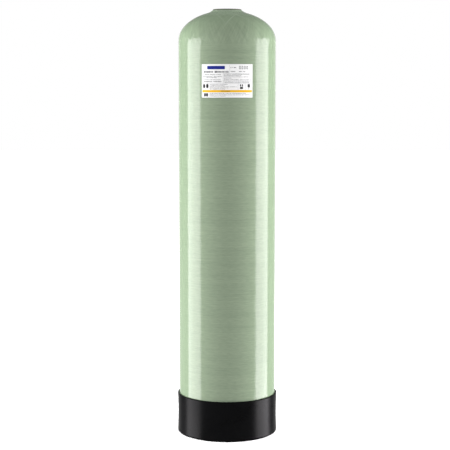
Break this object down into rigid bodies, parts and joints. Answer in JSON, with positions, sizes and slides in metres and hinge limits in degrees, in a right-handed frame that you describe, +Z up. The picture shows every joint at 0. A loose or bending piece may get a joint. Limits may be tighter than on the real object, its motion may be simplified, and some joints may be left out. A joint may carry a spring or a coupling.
{
  "type": "filter tank",
  "caption": "Upright wound fibreglass filter tank with domed ends, a short threaded neck, a moulded base, and a riser tube with a slotted strainer inside.",
  "frame": {"origin": "centre of the base's standing ring, on the ground", "axes": "+Z up along the vessel's axis to the neck, -Y out of the middle of the front, where the label is"},
  "size_m": [0.2674, 0.2674, 1.129],
  "materials": {
    "wound_fibreglass": "glossy resin over wound glass strands",
    "insert_plastic": "moulded, satin",
    "liner_plastic": "blown, satin",
    "base_plastic": "moulded, satin",
    "glue": "set bead",
    "label_film": "printed film",
    "pipe_plastic": "extruded, satin",
    "strainer_plastic": "moulded, satin"
  },
  "bodies": {
    "root": {"fibreglass_shell": "wound_fibreglass", "neck_insert": "insert_plastic", "liner": "liner_plastic", "base": "base_plastic", "base_adhesive": "glue", "label": "label_film", "riser_tube": "pipe_plastic", "distributor_head": "strainer_plastic", "distributor_screen": "strainer_plastic", "distributor_cap": "strainer_plastic"}
  },
  "joints": []
}
